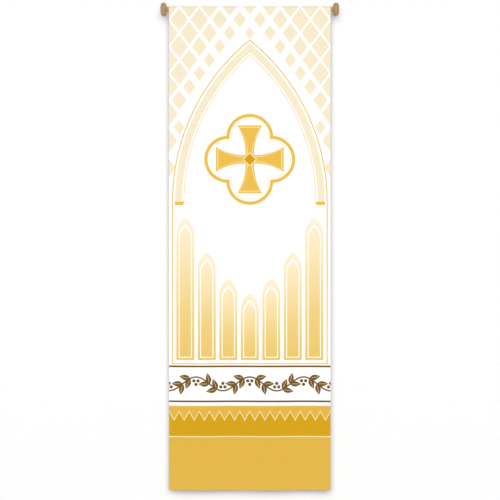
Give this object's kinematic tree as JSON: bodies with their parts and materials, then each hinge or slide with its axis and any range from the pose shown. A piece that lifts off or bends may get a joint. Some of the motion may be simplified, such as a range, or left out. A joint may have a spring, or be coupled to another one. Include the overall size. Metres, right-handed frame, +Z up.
{
  "type": "church banner on a wooden hanging rod",
  "caption": "Tall narrow printed cloth banner with a sewn pole pocket and bottom hem, hung flat from a wooden rod with a turned knob at each end.",
  "frame": {"origin": "on the rod's axis, half way along the rod, which is where the banner is held up", "axes": "+X along the rod to the right as seen from the front, +Z up, and the printed front faces -Y"},
  "size_m": [0.6736, 0.052, 1.8424],
  "materials": {
    "printed_cloth": "matt woven polyester, dye printed in white, cream, gold and brown",
    "rod_wood": "sanded dowel, satin clear coat",
    "knob_wood": "turned wood, satin clear coat"
  },
  "bodies": {
    "root": {"banner_cloth": "printed_cloth", "rod": "rod_wood", "knob_left": "knob_wood", "knob_right": "knob_wood"}
  },
  "joints": []
}
